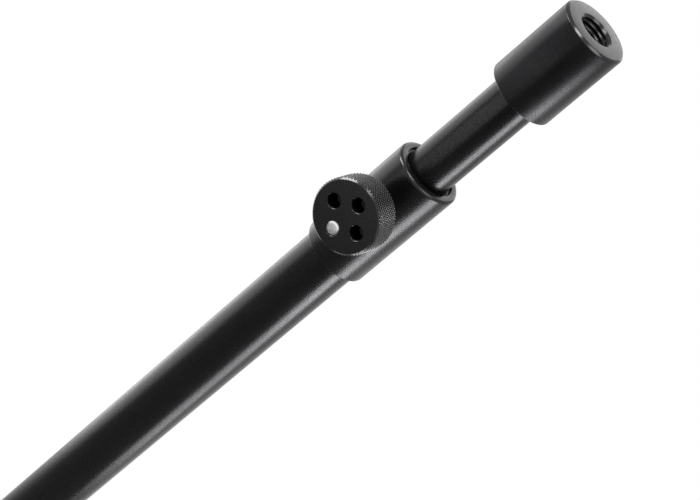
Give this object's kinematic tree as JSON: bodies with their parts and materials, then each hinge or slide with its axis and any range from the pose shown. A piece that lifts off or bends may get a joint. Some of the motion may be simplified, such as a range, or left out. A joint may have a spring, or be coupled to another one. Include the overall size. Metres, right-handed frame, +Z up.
{
  "type": "bank stick",
  "caption": "Telescopic bank stick with an auger point, a sliding and turning stem held by a knurled thumbscrew, and a threaded socket for a bite alarm.",
  "frame": {"origin": "very tip of the auger point, on the stick's axis", "axes": "+Z up the stick towards the head, -Y out along the thumbscrew"},
  "size_m": [0.0194, 0.0336, 0.3376],
  "materials": {
    "bright_aluminium": "bare turned and milled, bright",
    "black_anodised_tube": "drawn tube, black anodised, satin",
    "black_anodised_turned": "turned, black anodised, satin",
    "black_anodised_knurled": "diamond knurled edge, faced front, black anodised",
    "black_nylon": "moulded",
    "pale_nylon": "turned",
    "stainless_steel": "rolled thread",
    "polished_steel": "domed and polished end"
  },
  "bodies": {
    "ground_section": {"drill_point": "bright_aluminium", "outer_tube": "black_anodised_tube", "clamp_collar": "black_anodised_turned", "collar_lining": "black_nylon"},
    "guide": {"guide_bush": "black_nylon"},
    "stem": {"stem_tube": "black_anodised_tube", "head_socket": "black_anodised_turned", "stem_plug": "black_nylon"},
    "pad": {"clamp_pad": "pale_nylon"},
    "thumbscrew": {"clamp_knob": "black_anodised_knurled", "clamp_screw": "stainless_steel", "marker_pin": "polished_steel"}
  },
  "joints": [
    {"name": "stem_slide", "type": "slide", "parent": "ground_section", "child": "guide", "axis": [0, 0, 1], "range_m": [-0.0322, 0.1459]},
    {"name": "stem_turn", "type": "hinge", "parent": "guide", "child": "stem", "pos_m": [0, 0, 0.11], "axis": [0, 0, 1], "continuous": true},
    {"name": "screw_travel", "type": "slide", "parent": "ground_section", "child": "pad", "axis": [0, -1, 0], "range_m": [0, 0.00201]},
    {"name": "screw_turn", "type": "hinge", "parent": "pad", "child": "thumbscrew", "pos_m": [0, -0.0176, 0.2673], "axis": [0, -1, 0], "range_deg": [0, 720]}
  ],
  "couplings": [
    {"joint": "screw_travel", "follows": "screw_turn", "m_per_rad": 0.00015915}
  ]
}
